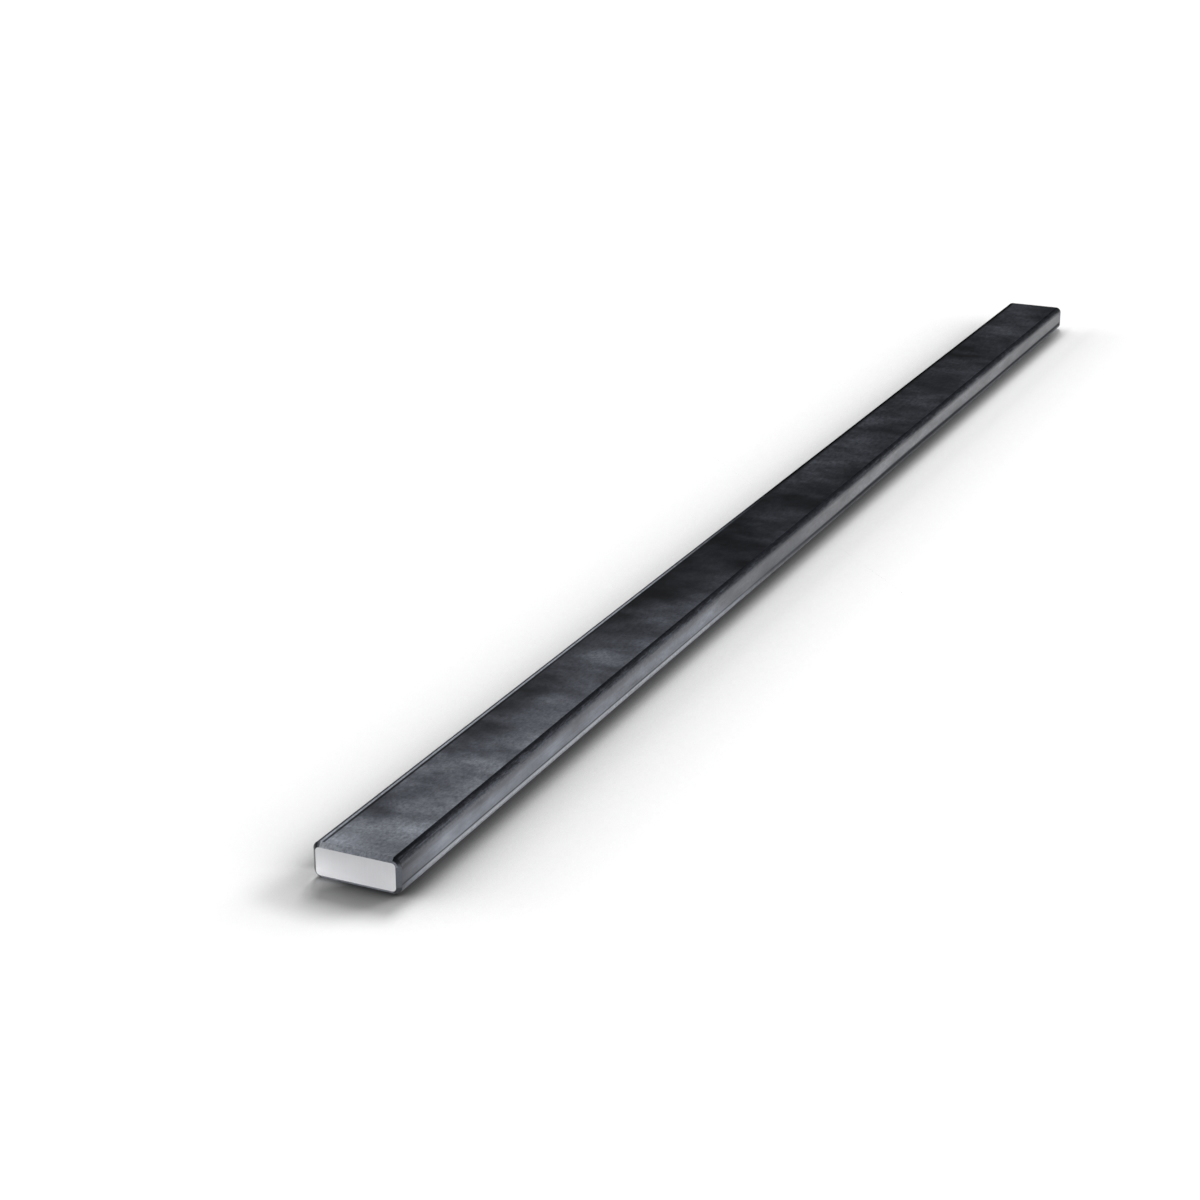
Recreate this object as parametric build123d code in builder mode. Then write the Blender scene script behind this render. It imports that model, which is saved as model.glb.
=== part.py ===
"""Hot-rolled steel flat bar: one length of plain rectangular stock, lying flat.

The bar is a single rolled piece. The rolls leave its long edges rounded, and
the saw-cut ends are dressed with a small bevel all round, which follows the
rounded corners of the section.

Frame, in millimetres: X along the length, Y across the width, Z up through
the thickness, with the origin at the centre of the underside.
"""

from build123d import *
import os

# Driving dimensions
bar_length = 1000.0        # from cut end to cut end, along X
bar_width = 40.0           # across the wide faces, along Y
bar_thickness = 16.0       # between the wide faces, along Z
rolled_edge_radius = 3.6   # left by the rolls on all four long edges
end_bevel = 1.8            # 45 degree bevel round both cut ends, measured along each leg

# The section stands on the ground plane, so the finished bar rests at Z = 0
section_plane = Plane(
    origin=(0, 0, bar_thickness / 2),
    x_dir=(0, 1, 0),
    z_dir=(1, 0, 0),
)

with BuildPart() as flat_bar:
    # Rolled section, drawn at mid-length and run out to both cut ends
    with BuildSketch(section_plane):
        RectangleRounded(bar_width, bar_thickness, rolled_edge_radius)
    extrude(amount=bar_length / 2, both=True)

    # Dressed bevel round the outline of each cut end
    cut_ends = flat_bar.faces().filter_by(Axis.X)
    chamfer(cut_ends.edges(), length=end_bevel)

flat_bar.part.label = "flat_bar"

os.makedirs("parts", exist_ok=True)
export_step(flat_bar.part, "parts/flat_bar.step")
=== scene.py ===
"""Hot-rolled steel flat bar on a pale studio floor.

The bar lies along X with its width along Y, in metres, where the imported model
puts it. The rolled skin carries blue-grey mill scale, the long edges are rounded
by the rolls, and the two cut ends are bare metal inside a small bevel.
"""

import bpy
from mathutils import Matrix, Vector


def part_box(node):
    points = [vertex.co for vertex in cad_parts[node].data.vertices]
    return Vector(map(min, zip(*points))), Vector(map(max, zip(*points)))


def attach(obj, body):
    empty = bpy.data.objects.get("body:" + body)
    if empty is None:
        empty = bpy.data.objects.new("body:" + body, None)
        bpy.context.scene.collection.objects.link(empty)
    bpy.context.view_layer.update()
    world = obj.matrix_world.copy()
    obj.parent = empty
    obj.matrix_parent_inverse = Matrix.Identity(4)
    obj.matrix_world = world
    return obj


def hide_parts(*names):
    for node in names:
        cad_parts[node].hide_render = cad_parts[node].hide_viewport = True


bl_info = {
    "name": "Flat Bar Studio",
    "version": (1, 0, 0),
    "blender": (4, 5, 0),
    "location": "3D View > Sidebar > Flat Bar",
    "description": "Dresses a length of hot-rolled steel flat bar and sets it in a plain studio",
    "category": "Add Mesh",
}

import math

import bmesh
import bpy
from mathutils import Vector, noise

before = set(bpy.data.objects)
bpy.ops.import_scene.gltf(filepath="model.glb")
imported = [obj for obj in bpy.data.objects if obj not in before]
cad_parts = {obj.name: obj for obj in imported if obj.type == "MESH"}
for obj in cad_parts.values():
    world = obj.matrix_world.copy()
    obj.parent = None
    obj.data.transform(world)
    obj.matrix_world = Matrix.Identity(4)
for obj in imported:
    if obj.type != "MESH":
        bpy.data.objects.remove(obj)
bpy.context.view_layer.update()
BAR_NODE = "flat_bar"
BAR_LOW, BAR_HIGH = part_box(BAR_NODE)
BAR_LENGTH = BAR_HIGH[0] - BAR_LOW[0]
BAR_WIDTH = BAR_HIGH[1] - BAR_LOW[1]
BAR_THICKNESS = BAR_HIGH[2] - BAR_LOW[2]
MM = 0.001


# ---------------------------------------------------------------- settings


class FlatBarShape(bpy.types.PropertyGroup):
    """Sizes of the bar that its outer box doesn't give."""

    edge_radius: bpy.props.FloatProperty(
        name="Rolled edge radius",
        description="Radius that the rolls leave on the four long edges",
        default=3.6 * MM,
        subtype="DISTANCE",
        unit="LENGTH",
    )
    end_bevel: bpy.props.FloatProperty(
        name="End bevel",
        description="Leg of the 45 degree bevel round each cut end",
        default=1.8 * MM,
        subtype="DISTANCE",
        unit="LENGTH",
    )
    edge_break: bpy.props.FloatProperty(
        name="Edge break",
        description="Radius of the softened corners on both sides of the end bevel",
        default=0.25 * MM,
        subtype="DISTANCE",
        unit="LENGTH",
    )
    unevenness: bpy.props.FloatProperty(
        name="Rolled unevenness",
        description="Deepest hollow that the rolls leave in the skin",
        default=0.03 * MM,
        subtype="DISTANCE",
        unit="LENGTH",
    )


class FlatBarStudio(bpy.types.PropertyGroup):
    """Floor and camera."""

    floor_colour: bpy.props.FloatVectorProperty(
        name="Floor colour",
        description="Colour of the pale floor",
        default=(0.99, 0.99, 0.99),
        subtype="COLOR",
        size=3,
        min=0.0,
        max=1.0,
    )
    target: bpy.props.FloatVectorProperty(
        name="Camera target",
        description="Point on the floor at the middle of the picture",
        default=(-0.1673, 0.0485, 0.0),
        subtype="TRANSLATION",
        unit="LENGTH",
        size=3,
    )
    distance: bpy.props.FloatProperty(
        name="Camera distance",
        description="From the camera to its target",
        default=1.2427,
        subtype="DISTANCE",
        unit="LENGTH",
    )
    heading: bpy.props.FloatProperty(
        name="Camera heading",
        description="Angle between the bar's length and the way the camera looks",
        default=math.radians(24.879),
        subtype="ANGLE",
        unit="ROTATION",
    )
    tilt: bpy.props.FloatProperty(
        name="Camera tilt",
        description="Angle by which the camera looks down",
        default=math.radians(20.555),
        subtype="ANGLE",
        unit="ROTATION",
    )
    lens: bpy.props.FloatProperty(
        name="Focal length",
        description="Focal length on a 36 mm wide sensor, in millimetres",
        default=71.76,
    )


# ---------------------------------------------------------------- shader expressions


class Value:
    """An output socket that takes part in Python expressions, adding Math nodes as it goes."""

    def __init__(self, graph, socket):
        self.graph = graph
        self.socket = socket

    def __add__(self, other):
        return self.graph.maths("ADD", self, other)

    def __radd__(self, other):
        return self.graph.maths("ADD", other, self)

    def __sub__(self, other):
        return self.graph.maths("SUBTRACT", self, other)

    def __rsub__(self, other):
        return self.graph.maths("SUBTRACT", other, self)

    def __mul__(self, other):
        return self.graph.maths("MULTIPLY", self, other)

    def __rmul__(self, other):
        return self.graph.maths("MULTIPLY", other, self)

    def __truediv__(self, other):
        return self.graph.maths("DIVIDE", self, other)

    def __pow__(self, other):
        return self.graph.maths("POWER", self, other)

    def __abs__(self):
        return self.graph.maths("ABSOLUTE", self)


class Graph:
    """A shader node tree that is filled by one method, and short names for its common nodes."""

    def __init__(self, tree):
        self.tree = tree
        tree.nodes.clear()

    def add(self, kind, settings=None, inputs=None, output=0):
        """Adds a node, sets it up, fills or links its sockets and returns one of its outputs."""
        node = self.tree.nodes.new(kind)
        for name, value in (settings or {}).items():
            if name == "stops":
                self.set_stops(node.color_ramp, value)
            else:
                setattr(node, name, value)
        for name, value in (inputs or {}).items():
            if isinstance(value, Value):
                self.tree.links.new(value.socket, node.inputs[name])
            else:
                node.inputs[name].default_value = value
        return Value(self, node.outputs[output]) if len(node.outputs) else None

    def set_stops(self, ramp, stops):
        """Grey stops from (position, level) pairs."""
        ramp.interpolation = "LINEAR"
        while len(ramp.elements) < len(stops):
            ramp.elements.new(1.0)
        for element, (position, level) in zip(ramp.elements, stops):
            element.position = position
            element.color = (level, level, level, 1.0)

    def maths(self, operation, *numbers):
        return self.add("ShaderNodeMath", {"operation": operation}, dict(enumerate(numbers)))

    def vector(self, operation, *values):
        return self.add("ShaderNodeVectorMath", {"operation": operation}, dict(enumerate(values)))

    def larger(self, first, second):
        return self.maths("MAXIMUM", first, second)

    def over(self, value, limit):
        """1 where the value is above the limit, else 0."""
        return self.maths("GREATER_THAN", value, limit)

    def rise(self, value, low, high):
        """0 below low, 1 above high and a smooth step between."""
        ends = {0: value, 1: low, 2: high, 3: 0.0, 4: 1.0}
        return self.add("ShaderNodeMapRange", {"interpolation_type": "SMOOTHSTEP"}, ends)

    def line(self, distance, middle, width, softness):
        """1 on a line at the given distance, 0 beside it."""
        away = abs(distance - middle)
        return 1 - self.rise(away, width / 2, width / 2 + softness)

    def blend(self, share, first, second):
        """The first number where share is 0 and the second where it is 1."""
        return self.add("ShaderNodeMix", {"data_type": "FLOAT"}, {0: share, 2: first, 3: second})

    def mix(self, share, first, second):
        """The first colour where share is 0 and the second where it is 1."""
        return self.add("ShaderNodeMix", {"data_type": "RGBA"}, {0: share, 6: first, 7: second}, 2)

    def along(self, share, stops):
        """A level that changes along the bar, from (share of the length, level) pairs."""
        return self.add("ShaderNodeValToRGB", {"stops": stops}, {0: share})

    def split(self, vector):
        """The three parts of a vector."""
        node = self.add("ShaderNodeSeparateXYZ", inputs={0: vector}).socket.node
        return [Value(self, node.outputs[axis]) for axis in range(3)]

    def away_from(self, place, centre, reach):
        """Distance over X and Y from a centre, as a share of the reach along each of them."""
        stretch = (1 / reach[0], 1 / reach[1], 0.0)
        offset = self.vector("MULTIPLY", self.vector("SUBTRACT", place, (*centre, 0.0)), stretch)
        return self.add("ShaderNodeVectorMath", {"operation": "LENGTH"}, {0: offset}, 1)

    def noise(self, place, sizes, detail=3.0, seed=0.0, roughness=0.55):
        """Cloudy noise from 0 to 1 whose patches have the given sizes along X, Y and Z."""
        scales = tuple(1 / size for size in sizes)
        moved = self.vector("MULTIPLY_ADD", place, scales, (seed, seed, seed))
        inputs = {"Vector": moved, "Scale": 1.0, "Detail": detail, "Roughness": roughness}
        return self.add("ShaderNodeTexNoise", inputs=inputs)


def new_material(name):
    """A material with an empty node tree, and the graph that fills it."""
    material = bpy.data.materials.new(name)
    material.use_nodes = True
    return material, Graph(material.node_tree)


# ---------------------------------------------------------------- the bar


def section_outline(shape, inset):
    """The rolled section's outline as (y, z) points, drawn in from the skin by inset.

    Each flat ends in a short support span, so that it shades flat up to its edge.
    """
    arc_steps = 10
    support = 0.4 * MM
    radius = shape.edge_radius
    half_flat = (BAR_WIDTH / 2 - radius, BAR_THICKNESS / 2 - radius)
    flat_spans = (10, 4)
    middle = BAR_THICKNESS / 2
    reach = radius - inset
    corners = ((1, 1), (-1, 1), (-1, -1), (1, -1))
    onwards = ((-1, 0), (0, -1), (1, 0), (0, 1))
    points = []
    for corner, (side_y, side_z) in enumerate(corners):
        centre_y = side_y * half_flat[0]
        centre_z = middle + side_z * half_flat[1]
        for step in range(arc_steps + 1):
            angle = math.radians(90 * (corner + step / arc_steps))
            points.append((centre_y + reach * math.cos(angle), centre_z + reach * math.sin(angle)))
        start_y, start_z = points[-1]
        step_y, step_z = onwards[corner]
        flat = corner % 2
        spans = flat_spans[flat]
        inner = 2 * half_flat[flat] - 2 * support
        for step in range(spans + 1):
            travel = support + inner * step / spans
            points.append((start_y + step_y * travel, start_z + step_z * travel))
    return points


def end_profile(shape):
    """(depth, inset) pairs from the cut face to the skin: edge break, bevel, edge break."""
    steps = 3
    bevel = shape.end_bevel
    soft = shape.edge_break
    tangent = soft * math.tan(math.radians(22.5))
    centres = ((soft, bevel + tangent, 180), (bevel + tangent, soft, 225))
    profile = []
    for depth, inset, first_angle in centres:
        for step in range(steps + 1):
            angle = math.radians(first_angle + 45 * step / steps)
            profile.append((depth + soft * math.cos(angle), inset + soft * math.sin(angle)))
    return profile


def stations(shape):
    """(x, inset) of every ring of the skin, from the left cut face to the right one."""
    body_spacing = 5 * MM
    support = 0.5 * MM
    ends = end_profile(shape)
    skin_start = ends[-1][0] + support
    skin_length = BAR_LENGTH - 2 * skin_start
    spans = round(skin_length / body_spacing)
    left = [(BAR_LOW[0] + depth, inset) for depth, inset in ends]
    start = BAR_LOW[0] + skin_start
    body = [(start + skin_length * step / spans, 0.0) for step in range(spans + 1)]
    right = [(BAR_HIGH[0] - depth, inset) for depth, inset in reversed(ends)]
    return left + body + right


def hollow(place, depth):
    """How far the skin dips at a point, from 0 to depth."""
    x, y, z = place
    long_wave = noise.noise(Vector((x * 14, y * 40, z * 40)))
    short_wave = noise.noise(Vector((x * 60, y * 90, z * 90 + 7)))
    return depth * min(1.0, max(0.0, 0.5 + 0.4 * long_wave + 0.2 * short_wave))


def bar_mesh(shape):
    """The bar as one closed mesh: face material 0 is the rolled skin, 1 a cut end."""
    half_width = BAR_WIDTH / 2
    half_height = BAR_THICKNESS / 2
    mesh = bmesh.new()
    rings = []
    for x, inset in stations(shape):
        ring = []
        for y, z in section_outline(shape, inset):
            dip = hollow((x, y, z), shape.unevenness) if inset == 0 else 0.0
            y = y * (1 - dip / half_width)
            z = half_height + (z - half_height) * (1 - dip / half_height)
            ring.append(mesh.verts.new((x, y, z)))
        rings.append(ring)
    count = len(rings[0])
    for ring, following in zip(rings, rings[1:]):
        for index in range(count):
            after = (index + 1) % count
            face = mesh.faces.new((ring[index], following[index], following[after], ring[after]))
            face.smooth = True
    for ring in (rings[0], list(reversed(rings[-1]))):
        cap = mesh.faces.new(ring)
        cap.material_index = 1
    bmesh.ops.recalc_face_normals(mesh, faces=mesh.faces)
    data = bpy.data.meshes.new("flat_bar_dressed")
    mesh.to_mesh(data)
    mesh.free()
    return data


# Hues of the skin, which its lightness multiplies
SCALE_HUE = (0.97, 1.0, 1.095, 1.0)
EDGE_BAND_WIDE_HUE = (0.93, 1.0, 1.145, 1.0)
EDGE_BAND_NARROW_HUE = (0.92, 1.0, 1.175, 1.0)
DARK_HUE = (0.92, 1.0, 1.24, 1.0)
LIGHT_HUE = (0.955, 1.0, 1.08, 1.0)

# Patches of thicker or thinner scale: middle and reach in bar widths along X and Y, change of tone
CLOUD_PATCHES = (
    (1.00, 0.34, 0.45, 0.36, -0.25),
    (2.90, 0.30, 0.80, 0.40, -0.30),
    (4.40, 0.30, 0.60, 0.40, -0.30),
    (5.70, 0.05, 0.50, 0.35, 0.25),
    (7.70, 0.30, 0.60, 0.60, -0.35),
    (10.0, 0.00, 0.70, 0.90, -0.20),
    (13.6, 0.25, 1.00, 0.60, 0.20),
)


def steps_of_width(*pairs):
    """(bar widths from the left end, level) pairs as (share of the length, level) pairs."""
    return [(widths * BAR_WIDTH / BAR_LENGTH, level) for widths, level in pairs]


class SkinPlace:
    """Where the shaded point lies on the bar's skin."""

    def __init__(self, graph, shape):
        radius = shape.edge_radius
        arc_length = radius * math.pi / 2
        self.point = graph.add("ShaderNodeTexCoord", output="Object")
        self.x, self.y, z = graph.split(self.point)
        self.height = z - BAR_THICKNESS / 2
        self.share = (self.x - BAR_LOW[0]) / BAR_LENGTH
        past_wide = abs(self.y) - (BAR_WIDTH / 2 - radius)
        past_narrow = abs(self.height) - (BAR_THICKNESS / 2 - radius)
        angle = graph.maths(
            "ARCTAN2", graph.larger(past_wide, 0.0), graph.larger(past_narrow, 0.0)
        )
        # 0 on the wide faces, 1 on the narrow ones and in between round the edges
        self.turn = angle / (math.pi / 2)
        # Distance over the skin from the edge's tangent lines, towards the faces' middles
        self.from_wide = graph.larger(0.0 - past_wide, 0.0) - self.turn * arc_length
        self.from_narrow = graph.larger(0.0 - past_narrow, 0.0) - (1 - self.turn) * arc_length
        self.on_edge = graph.rise(self.from_wide, 0.0, -0.1 * MM)
        self.on_narrow = graph.over(self.turn, 0.9999)
        self.upper = graph.over(self.height, 0.0)
        self.lower = 1 - self.upper
        self.back = graph.over(self.y, 0.0)
        self.from_end = BAR_LENGTH / 2 - abs(self.x - (BAR_LOW[0] + BAR_HIGH[0]) / 2)
        self.on_bevel = graph.rise(
            self.from_end, shape.end_bevel + 0.1 * MM, shape.end_bevel - 0.1 * MM
        )
        # 0 in the painted shade of the lower corner by the left end, 1 away from it
        self.clean = graph.rise(self.x - BAR_LOW[0], -0.3 * BAR_WIDTH, 0.75 * BAR_WIDTH)
        # How far the near pattern of painted reflections on the edges reaches: fully at the left
        # end, not past the middle
        self.painted_edge_reach = graph.along(self.share, steps_of_width(
            (0.0, 1.0), (7.5, 1.0), (9.0, 0.6), (10.5, 0.25), (13.0, 0.0),
        ))


def wide_face_value(graph, at):
    """Lightness of the cloudy mill scale on the wide faces, with painted reflection that fades from
    the left end to the right and changes across the face.
    """
    # Painted reflection: the wide faces are lighter at the left end and darker towards the right
    tone_and_painted_reflection = graph.along(at.share, steps_of_width(
        (0.0, 0.45), (1.0, 0.35), (2.3, 0.38), (3.6, 0.245), (6.0, 0.23), (9.0, 0.135),
        (12.0, 0.14), (13.5, 0.207), (17.0, 0.162), (25.0, 0.175),
    ))
    # Painted reflection across the face, which tilts the tone from one long edge to the other
    painted_cross_reflection = graph.along(at.share, steps_of_width(
        (0.0, 0.25), (1.0, 0.80), (2.2, 0.46), (3.2, 0.68), (7.0, 0.90), (13.5, 0.27), (20.5, 0.57),
        (25.0, 0.40),
    ))
    tone_and_painted_reflection = tone_and_painted_reflection * (1 - (painted_cross_reflection - 0.5) * 2.2 / BAR_WIDTH * at.y)
    clouds = graph.noise(at.point, (0.040, 0.060, 0.060), detail=8.0, seed=3.1)
    wisps = graph.noise(at.point, (0.014, 0.022, 0.022), detail=6.0, seed=8.4)
    for patch_x, patch_y, reach_x, reach_y, change in CLOUD_PATCHES:
        centre = (BAR_LOW[0] + patch_x * BAR_WIDTH, patch_y * BAR_WIDTH)
        distance = graph.away_from(at.point, centre, (reach_x * BAR_WIDTH, reach_y * BAR_WIDTH))
        inside = graph.rise(distance + (clouds - 0.5) * 1.2 + (wisps - 0.5) * 0.6, 1.2, 0.0)
        tone_and_painted_reflection = tone_and_painted_reflection * (1 + change * inside)
    calm = graph.rise(at.from_end, 0.9 * BAR_WIDTH, 0.0)
    rough = graph.rise(at.share, 0.2, 0.4)
    mottling = (clouds - 0.5) * (1.2 + 1.1 * rough) + (wisps - 0.5) * (1.2 - 0.1 * rough)
    tone_and_painted_reflection = tone_and_painted_reflection * graph.larger(1 + (1 - 0.5 * calm) * mottling, 0.1)
    return tone_and_painted_reflection ** 2.2


def narrow_face_value(graph, at, smudges):
    """Lightness of the smoother narrow faces, with painted reflection and shade that change along
    the bar, and painted shade along the bottom past the middle.
    """
    # Level along the bar, with painted reflection and shade in it: darkest at the left end
    level = graph.along(at.share, steps_of_width(
        (0.0, 0.05), (0.9, 0.235), (2.2, 0.166), (4.0, 0.160), (6.0, 0.164), (8.0, 0.165),
        (10.0, 0.074), (14.0, 0.160), (18.0, 0.138), (25.0, 0.092),
    ))
    level = level * (1 + (smudges - 0.5) * 2.8)
    # Painted shade along the top of the narrow faces, as far as the painted edge reflections reach
    shaded_top = graph.rise(at.from_narrow, 2.8 * MM, 0.0) * at.upper * at.painted_edge_reach
    level = level * (1 - 0.42 * shaded_top)
    # Painted shade on the front narrow face along its upper edge, near each end
    painted_end_shade = graph.rise(at.from_end, 22.0 * MM, 4.0 * MM)
    painted_end_shade = painted_end_shade * graph.rise(at.from_narrow, 2.0 * MM, 0.8 * MM)
    level = level * (1 - 0.5 * painted_end_shade * at.upper * (1 - at.back))
    # Painted shade along the bottom of the narrow faces, past the middle
    painted_shade_foot_height = graph.along(at.share, steps_of_width(
        (9.0, 0.8), (12.5, 0.75), (16.0, 1.25), (20.0, 0.85), (25.0, 1.0),
    ))
    painted_shade_foot = graph.rise(at.from_narrow / painted_shade_foot_height, 2.7 * MM, 1.3 * MM) * at.lower * (1 - at.painted_edge_reach)
    return graph.blend(painted_shade_foot, level, 0.02), level, painted_shade_foot


def edge_value(graph, at, narrow):
    """Lightness of the rounded edges, painted with reflections: dark bands along the upper edges
    and lighter bands along the lower ones.
    """
    ragged = graph.noise(at.point, (0.010, 0.0010, 0.0010), detail=6.0, seed=6.6, roughness=0.85)
    turn = at.turn + (ragged - 0.5) * 1.7
    # Painted dark reflection bands on the upper edges, black at the top and greyer towards the
    # narrow faces
    painted_band_level = graph.along(at.share, steps_of_width((0.2, 0.45), (0.9, 0.80), (2.5, 0.77), (3.5, 0.65)))
    painted_near_band = graph.blend(graph.rise(turn, 0.27, 0.80), 0.0185, 0.123) * painted_band_level
    painted_far_band = graph.blend(graph.rise(turn, 0.36, 0.78), 0.013, narrow * 0.5)
    band = graph.blend(at.painted_edge_reach, painted_far_band, painted_near_band)
    band = graph.blend(graph.rise(at.turn, 0.97, 1.0), band, narrow)
    painted_back_top = graph.blend(graph.rise(at.turn, 0.3, 1.0), 0.02, narrow)
    top = graph.blend(at.back * at.painted_edge_reach, band, painted_back_top)
    # Painted light reflection bands on the lower edges
    painted_low_band = graph.blend(at.turn, 0.50, 0.25) * at.clean
    painted_low_far = graph.blend(graph.rise(at.turn, 0.2, 1.0), 0.33, 0.02)
    bottom = graph.blend(at.painted_edge_reach, painted_low_far, painted_low_band) * graph.along(at.share, steps_of_width(
        (6.0, 0.95), (8.0, 0.88), (10.0, 0.82), (12.0, 0.98), (13.5, 0.78), (16.5, 0.75),
        (18.0, 0.92), (20.0, 1.0),
    ))
    return graph.blend(at.lower, top, bottom)


def bevel_value(graph, at, wide):
    """Lightness of the end bevel, with painted reflections: dark corners and a thin light arc at
    the front upper corner.
    """
    painted_highlight_rim = graph.rise(at.from_end, 0.8 * MM, 0.3 * MM) * (1 - at.back)
    side = graph.blend(at.back, 0.10, 0.03)
    upper_back = at.back * graph.rise(at.from_narrow, 1.6 * MM, 0.6 * MM) * at.upper
    side = graph.blend(upper_back, side, 0.02)
    flat = graph.blend(at.on_narrow, graph.blend(at.lower, wide * 1.3, 0.28), side)
    # Painted reflections at the bevel's corners: dark beads, and a thin light arc at the front
    # upper corner
    right_corner = graph.blend(graph.rise(at.turn, 0.5, 1.0), 0.012, 0.10)
    left_corner = graph.blend(graph.rise(at.turn, 0.1, 0.4), 0.12, 0.012)
    upper_corner = graph.blend(at.back, right_corner, left_corner)
    corner = graph.blend(at.lower, graph.blend(painted_highlight_rim, upper_corner, 0.20), 0.03)
    return graph.blend(at.on_edge * (1 - at.on_narrow), flat, corner)


def skin_value(graph, at, smudges):
    """Lightness of the whole skin, and the mask of its painted shade along the foot of the narrow
    faces.
    """
    wide = wide_face_value(graph, at)
    narrow, plain_narrow, painted_shade_foot = narrow_face_value(graph, at, smudges)
    value = graph.blend(at.on_edge, wide, edge_value(graph, at, plain_narrow))
    value = graph.blend(at.on_narrow, value, narrow)
    # Painted highlight lines along the tangents, each with a thin painted dark line inside it
    top = at.upper * at.back * at.painted_edge_reach
    low = at.lower * at.painted_edge_reach * at.painted_edge_reach
    painted_top_highlight = graph.line(at.from_wide, 0.0, 0.5 * MM, 0.5 * MM) * top
    value = graph.blend(painted_top_highlight, value, 0.27)
    painted_low_highlight = graph.line(at.from_narrow, 0.0, 0.9 * MM, 0.7 * MM) * low
    value = graph.blend(painted_low_highlight, value, 0.41 * at.clean)
    dark_line_strength = graph.along(at.share, steps_of_width(
        (0.0, 0.85), (1.0, 0.95), (3.0, 0.95), (5.0, 0.72), (7.0, 0.62), (9.0, 0.50), (11.0, 0.30),
    ))
    painted_top_dark_line = graph.line(at.from_wide, 1.15 * MM, 0.6 * MM, 0.5 * MM) * top * dark_line_strength
    painted_low_dark_line = graph.line(at.from_narrow, 1.2 * MM, 0.3 * MM, 0.4 * MM) * low * 0.8
    # Painted dark border along the back upper edge, where the near pattern of painted reflections
    # doesn't reach
    far_back_top = at.upper * at.back * graph.rise(at.painted_edge_reach, 0.3, 0.0)
    border = graph.line(at.from_wide, 0.0, 1.6 * MM, 0.8 * MM) * far_back_top * 0.75
    value = value * (1 - graph.larger(graph.larger(painted_top_dark_line, painted_low_dark_line), border))
    return graph.blend(at.on_bevel, value, bevel_value(graph, at, wide)), painted_shade_foot


def skin_material(shape):
    """Mill scale on the rolled skin, with painted reflections and shade along the bar and round its
    edges.
    """
    material, graph = new_material("mill_scale")
    at = SkinPlace(graph, shape)
    fine_grain = graph.noise(at.point, (0.0018, 0.0013, 0.0013), detail=4.0, roughness=0.7)
    coarse_grain = graph.noise(at.point, (0.0045, 0.0020, 0.0020), detail=4.0, roughness=0.7)
    grain = graph.blend(graph.rise(at.share, 0.0, 0.7), fine_grain, coarse_grain)
    smudges = graph.noise(at.point, (0.035, 0.010, 0.010), detail=4.0, seed=5.0)
    streaks = graph.noise(at.point, (0.060, 0.0006, 0.0006), detail=3.0, seed=2.0)
    value, painted_shade_foot = skin_value(graph, at, smudges)
    streaking = 0.3 + at.on_edge - 0.85 * at.on_narrow
    graininess = 2.0 + 1.2 * graph.rise(at.share, 0.1, 0.3) - 1.5 * at.on_narrow
    texture = 1 + (grain - 0.5) * graininess + (streaks - 0.5) * streaking

    # Hue where the edges carry their near pattern of painted reflections
    edge_band_hue = graph.mix(graph.rise(at.turn, 0.4, 0.9), EDGE_BAND_WIDE_HUE, EDGE_BAND_NARROW_HUE)
    hue = graph.mix(at.painted_edge_reach, SCALE_HUE, edge_band_hue)
    hue = graph.mix(graph.rise(value, 0.02, 0.12), DARK_HUE, hue)
    hue = graph.mix(graph.rise(value, 0.2, 0.42), hue, LIGHT_HUE)
    tint = graph.vector("MULTIPLY", hue, value * texture)
    colour = graph.mix(1.0, (0.0, 0.0, 0.0, 1.0), tint)

    metal = graph.blend(at.on_narrow, graph.rise(at.turn, 0.7, 1.0) * at.upper, 1 - painted_shade_foot) * 0.4
    sheen = graph.along(
        at.share, steps_of_width((0.0, 0.5), (5.0, 0.45), (8.0, 0.3), (10.0, 0.2), (14.0, 0.26))
    )
    edge_sheen = graph.blend(at.back * at.painted_edge_reach, graph.rise(at.turn, 0.1, 0.9), 0.6)
    edge_sheen = graph.blend(at.lower, edge_sheen, 0.6 + 0.4 * at.painted_edge_reach)
    gloss = graph.blend(at.on_edge, sheen, edge_sheen)
    gloss = graph.blend(at.on_narrow, gloss, 1 - 0.8 * painted_shade_foot)

    bump = graph.add("ShaderNodeBump", inputs={
        "Strength": 0.25,
        "Distance": 0.05 * MM,
        "Height": 0.5 * grain + smudges,
    })
    skin = graph.add("ShaderNodeBsdfPrincipled", inputs={
        "Base Color": colour,
        "Roughness": 0.38 + (smudges - 0.5) * 0.12 + (grain - 0.5) * 0.1,
        "Metallic": metal,
        "IOR": 1.5,
        "Normal": bump,
    })
    dull = graph.add("ShaderNodeBsdfPrincipled", inputs={
        "Base Color": colour,
        "Roughness": 0.9,
        "Specular IOR Level": 0.0,
        "Normal": bump,
    })
    shader = graph.add("ShaderNodeMixShader", inputs={0: gloss, 1: dull, 2: skin})
    graph.add("ShaderNodeOutputMaterial", inputs={"Surface": shader})
    return material


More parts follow.
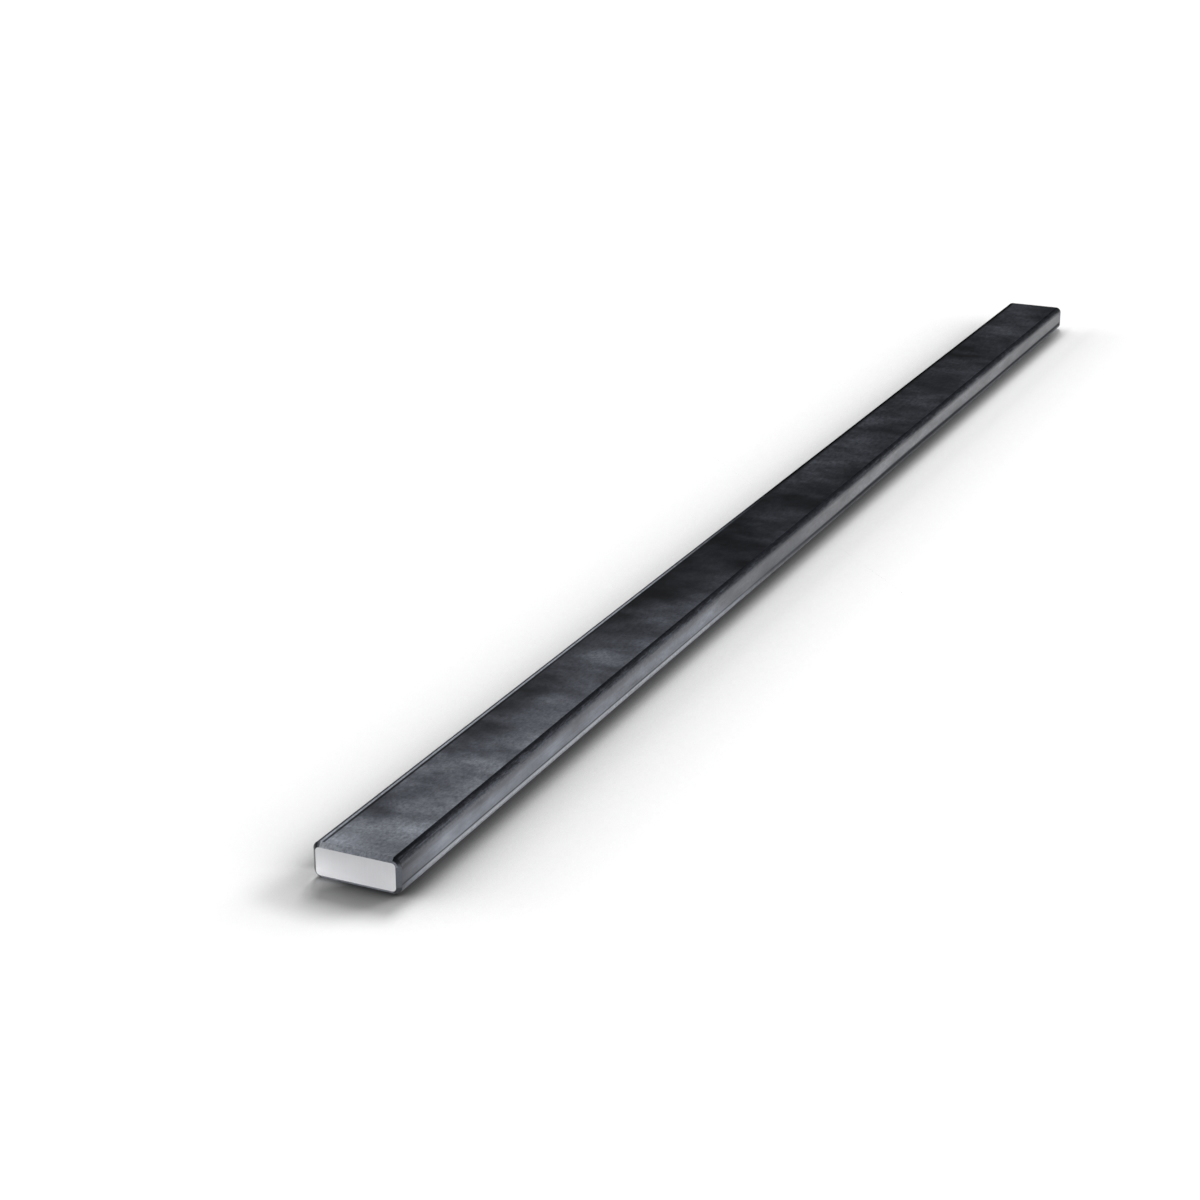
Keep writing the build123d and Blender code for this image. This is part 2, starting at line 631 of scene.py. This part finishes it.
def cut_material():
    """Bare metal of the cut ends, with painted light that brightens each face towards its bottom
    and towards +Y; the right one darker.
    """
    material, graph = new_material("cut_steel")
    point = graph.add("ShaderNodeTexCoord", output="Object")
    x, y, z = graph.split(point)
    blotches = graph.noise(point, (0.02, 0.012, 0.008), detail=3.0)
    saw_lines = graph.noise(point, (0.02, 0.0004, 0.02), detail=2.0)
    # Painted light: each face brightens towards its bottom and towards +Y
    depth = 1 - z / BAR_THICKNESS
    painted_light_to_back = graph.rise(y, -0.3 * BAR_WIDTH, 0.5 * BAR_WIDTH)
    value = 0.555 + 0.345 * depth + 0.36 * painted_light_to_back * depth * depth
    value = value + (blotches - 0.5) * 0.08 + (saw_lines - 0.5) * 0.05
    value = value * graph.blend(graph.over(x, (BAR_LOW[0] + BAR_HIGH[0]) / 2), 1.0, 0.45)
    colour = graph.mix(value, (0.0, 0.0, 0.0, 1.0), (0.965, 0.97, 1.0, 1.0))
    shader = graph.add("ShaderNodeBsdfPrincipled", inputs={
        "Base Color": colour,
        "Roughness": 0.45,
        "Metallic": 0.1,
    })
    graph.add("ShaderNodeOutputMaterial", inputs={"Surface": shader})
    return material


class FLATBAR_OT_bar(bpy.types.Operator):
    """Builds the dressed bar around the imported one"""

    bl_idname = "flatbar.bar"
    bl_label = "Build the bar"

    def execute(self, context):
        shape = context.scene.flat_bar_shape
        bar = bpy.data.objects.new("flat_bar_dressed", bar_mesh(shape))
        context.scene.collection.objects.link(bar)
        bar.data.materials.append(skin_material(shape))
        bar.data.materials.append(cut_material())
        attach(bar, "root")
        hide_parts(BAR_NODE)
        return {"FINISHED"}


# ---------------------------------------------------------------- the studio


# Lamps: name, strength, size, elevation and heading, with the angles in degrees
LAMPS = (
    ("key_light", 2.42, 20, 36.6, 17.6),
    ("side_light", 1.69, 23, 19.6, -24.5),
    ("fill_light", 1.42, 40, 6, 190),
)


class FloorPlace:
    """Where the shaded point of the floor lies round the bar, in bar widths."""

    def __init__(self, graph):
        self.point = graph.add("ShaderNodeTexCoord", output="Object")
        x, y = graph.split(self.point)[:2]
        self.along = graph.rise(x, BAR_LOW[0], BAR_HIGH[0])
        self.from_left = (x - BAR_LOW[0]) / BAR_WIDTH
        self.from_right = (x - BAR_HIGH[0]) / BAR_WIDTH
        self.across = y / BAR_WIDTH
        self.right_side = graph.rise(self.across, 0.5, -0.5)
        # Distance out from the bar's side, and 0 to 1 from the shadow there to the haze beyond it
        self.beyond = abs(self.across) - 0.5
        self.far_off = graph.rise(self.beyond, 0.2, 0.62)


def kept_share(graph, at):
    """Share of its colour that the floor keeps: painted shade where the bar hides a part of the
    space above.
    """
    reach = 3.4 * BAR_WIDTH
    open_share = graph.add("ShaderNodeAmbientOcclusion", {"samples": 16}, {"Distance": reach}, "AO")
    left_front = graph.rise(at.across, 0.0, 0.36) * graph.rise(at.from_left, 0.45, 0.1)
    open_share = graph.larger(open_share, graph.blend(left_front, 0.48, 0.85))
    left_power = graph.blend(at.along, 2.80, 3.35)
    right_power = graph.blend(at.along, 3.70, 2.15)
    power = graph.blend(at.right_side, left_power, right_power)
    far_right = graph.rise(at.from_right, -1.2, 0.2) * at.right_side
    power = power * (1 - 0.8 * far_right * graph.rise(at.beyond, 0.35, 0.05))
    darkest = 0.07
    return darkest + (1 - darkest) * open_share ** power


def front_pool(graph, at):
    """1 in the middle of a soft painted dark pool before the left end, 0 away from it."""
    middle = (BAR_LOW[0] - 0.35 * BAR_WIDTH, 0.15 * BAR_WIDTH)
    reach = (0.48 * BAR_WIDTH, 0.80 * BAR_WIDTH)
    return graph.rise(graph.away_from(at.point, middle, reach), 1.25, 0.4)


def corner_border(graph, at):
    """1 on the painted shadow's border by the left corner, which the floor lightens, else 0."""
    border = graph.line(at.across - 0.45 * at.from_left, 0.45, 0.02, 0.09)
    return border * graph.rise(at.from_left, -0.45, -0.25) * graph.rise(at.from_left, 0.1, -0.05)


def side_change(graph, at):
    """Change of painted shade beside the bar: its shadow ends early and a faint haze goes on."""
    lift = graph.rise(at.beyond, 0.12, 0.27) * (1 - at.far_off)
    lift = lift * graph.rise(at.from_left, 0.0, 8.0) * graph.blend(at.right_side, 0.07, 0.155)
    haze = at.far_off * graph.rise(at.beyond, 2.0, 0.8)
    haze = haze * graph.rise(at.from_left, -0.5, 0.8) * graph.blend(at.right_side, 0.035, 0.055)
    return (lift - haze) * graph.rise(at.from_right, 0.8, -0.3)


def floor_material(studio):
    """Plain pale floor, which the camera alone sees with painted shade round the bar, over the
    lamps' own shadow.
    """
    material, graph = new_material("studio_floor")
    at = FloorPlace(graph)
    shade = kept_share(graph, at) * (1 - 0.18 * front_pool(graph, at))
    shade = shade * (1 + 0.25 * corner_border(graph, at) + side_change(graph, at))
    seen = graph.add("ShaderNodeLightPath", output="Is Camera Ray")
    shade = 1 - seen * (1 - shade)
    colour = graph.mix(shade, (0, 0, 0, 1), (*studio.floor_colour, 1.0))
    shader = graph.add("ShaderNodeBsdfDiffuse", inputs={"Color": colour})
    graph.add("ShaderNodeOutputMaterial", inputs={"Surface": shader})
    return material


def build_floor(studio):
    """A wide flat floor under the bar."""
    half_size = 60.0
    drop = 0.05 * MM
    mesh = bmesh.new()
    bmesh.ops.create_grid(mesh, x_segments=1, y_segments=1, size=half_size)
    data = bpy.data.meshes.new("studio_floor")
    mesh.to_mesh(data)
    mesh.free()
    floor = bpy.data.objects.new("studio_floor", data)
    floor.location.z = -drop
    floor.data.materials.append(floor_material(studio))
    bpy.context.scene.collection.objects.link(floor)


def build_world():
    """Soft light from above, over dim walls."""
    world = bpy.data.worlds.new("studio")
    world.use_nodes = True
    bpy.context.scene.world = world
    graph = Graph(world.node_tree)
    direction = graph.add("ShaderNodeTexCoord", output="Generated")
    up = graph.split(direction)[2]
    wall_level = 0.02
    sky_level = 0.41
    strength = wall_level + (sky_level - wall_level) * graph.rise(up, 0.15, 0.5)
    shader = graph.add("ShaderNodeBackground", inputs={"Color": (1, 1, 1, 1), "Strength": strength})
    graph.add("ShaderNodeOutputWorld", inputs={"Surface": shader})


def build_lamp(name, strength, size, elevation, heading):
    """A distant soft lamp; the angles are in degrees and the heading runs from +X towards +Y."""
    data = bpy.data.lights.new(name, "SUN")
    data.energy = strength
    data.angle = math.radians(size)
    lamp = bpy.data.objects.new(name, data)
    lamp.rotation_euler = (0.0, math.radians(90 - elevation), math.radians(heading))
    lamp.visible_glossy = False
    bpy.context.scene.collection.objects.link(lamp)


def build_camera(studio):
    """The camera, which looks down at the bar from beyond its left end."""
    data = bpy.data.cameras.new("camera")
    data.sensor_width = 36.0
    data.lens = studio.lens
    data.clip_end = 200.0
    camera = bpy.data.objects.new("camera", data)
    ahead = Vector(
        (
            math.cos(studio.tilt) * math.cos(studio.heading),
            math.cos(studio.tilt) * math.sin(studio.heading),
            -math.sin(studio.tilt),
        )
    )
    camera.location = Vector(studio.target) - ahead * studio.distance
    camera.rotation_mode = "QUATERNION"
    camera.rotation_quaternion = ahead.to_track_quat("-Z", "Y")
    bpy.context.scene.collection.objects.link(camera)
    bpy.context.scene.camera = camera


class FLATBAR_OT_stage(bpy.types.Operator):
    """Builds the floor, the lights and the camera"""

    bl_idname = "flatbar.stage"
    bl_label = "Build the studio"

    def execute(self, context):
        studio = context.scene.flat_bar_studio
        build_floor(studio)
        build_world()
        for lamp in LAMPS:
            build_lamp(*lamp)
        build_camera(studio)
        context.scene.view_settings.view_transform = "Standard"
        return {"FINISHED"}


class FLATBAR_PT_panel(bpy.types.Panel):
    """Lists the bar's sizes, the studio's settings and the build steps"""

    bl_idname = "FLATBAR_PT_panel"
    bl_label = "Flat Bar"
    bl_space_type = "VIEW_3D"
    bl_region_type = "UI"
    bl_category = "Flat Bar"

    def draw(self, context):
        for group in (context.scene.flat_bar_shape, context.scene.flat_bar_studio):
            box = self.layout.box()
            for name in group.__annotations__:
                box.prop(group, name)
        for operator in (FLATBAR_OT_bar, FLATBAR_OT_stage):
            self.layout.operator(operator.bl_idname)


CLASSES = (
    FlatBarShape,
    FlatBarStudio,
    FLATBAR_OT_bar,
    FLATBAR_OT_stage,
    FLATBAR_PT_panel,
)


def register():
    for item in CLASSES:
        bpy.utils.register_class(item)
    bpy.types.Scene.flat_bar_shape = bpy.props.PointerProperty(type=FlatBarShape)
    bpy.types.Scene.flat_bar_studio = bpy.props.PointerProperty(type=FlatBarStudio)


def unregister():
    del bpy.types.Scene.flat_bar_studio
    del bpy.types.Scene.flat_bar_shape
    for item in reversed(CLASSES):
        bpy.utils.unregister_class(item)


def main():
    register()
    bpy.ops.flatbar.bar()
    bpy.ops.flatbar.stage()


if __name__ == "__main__":
    main()
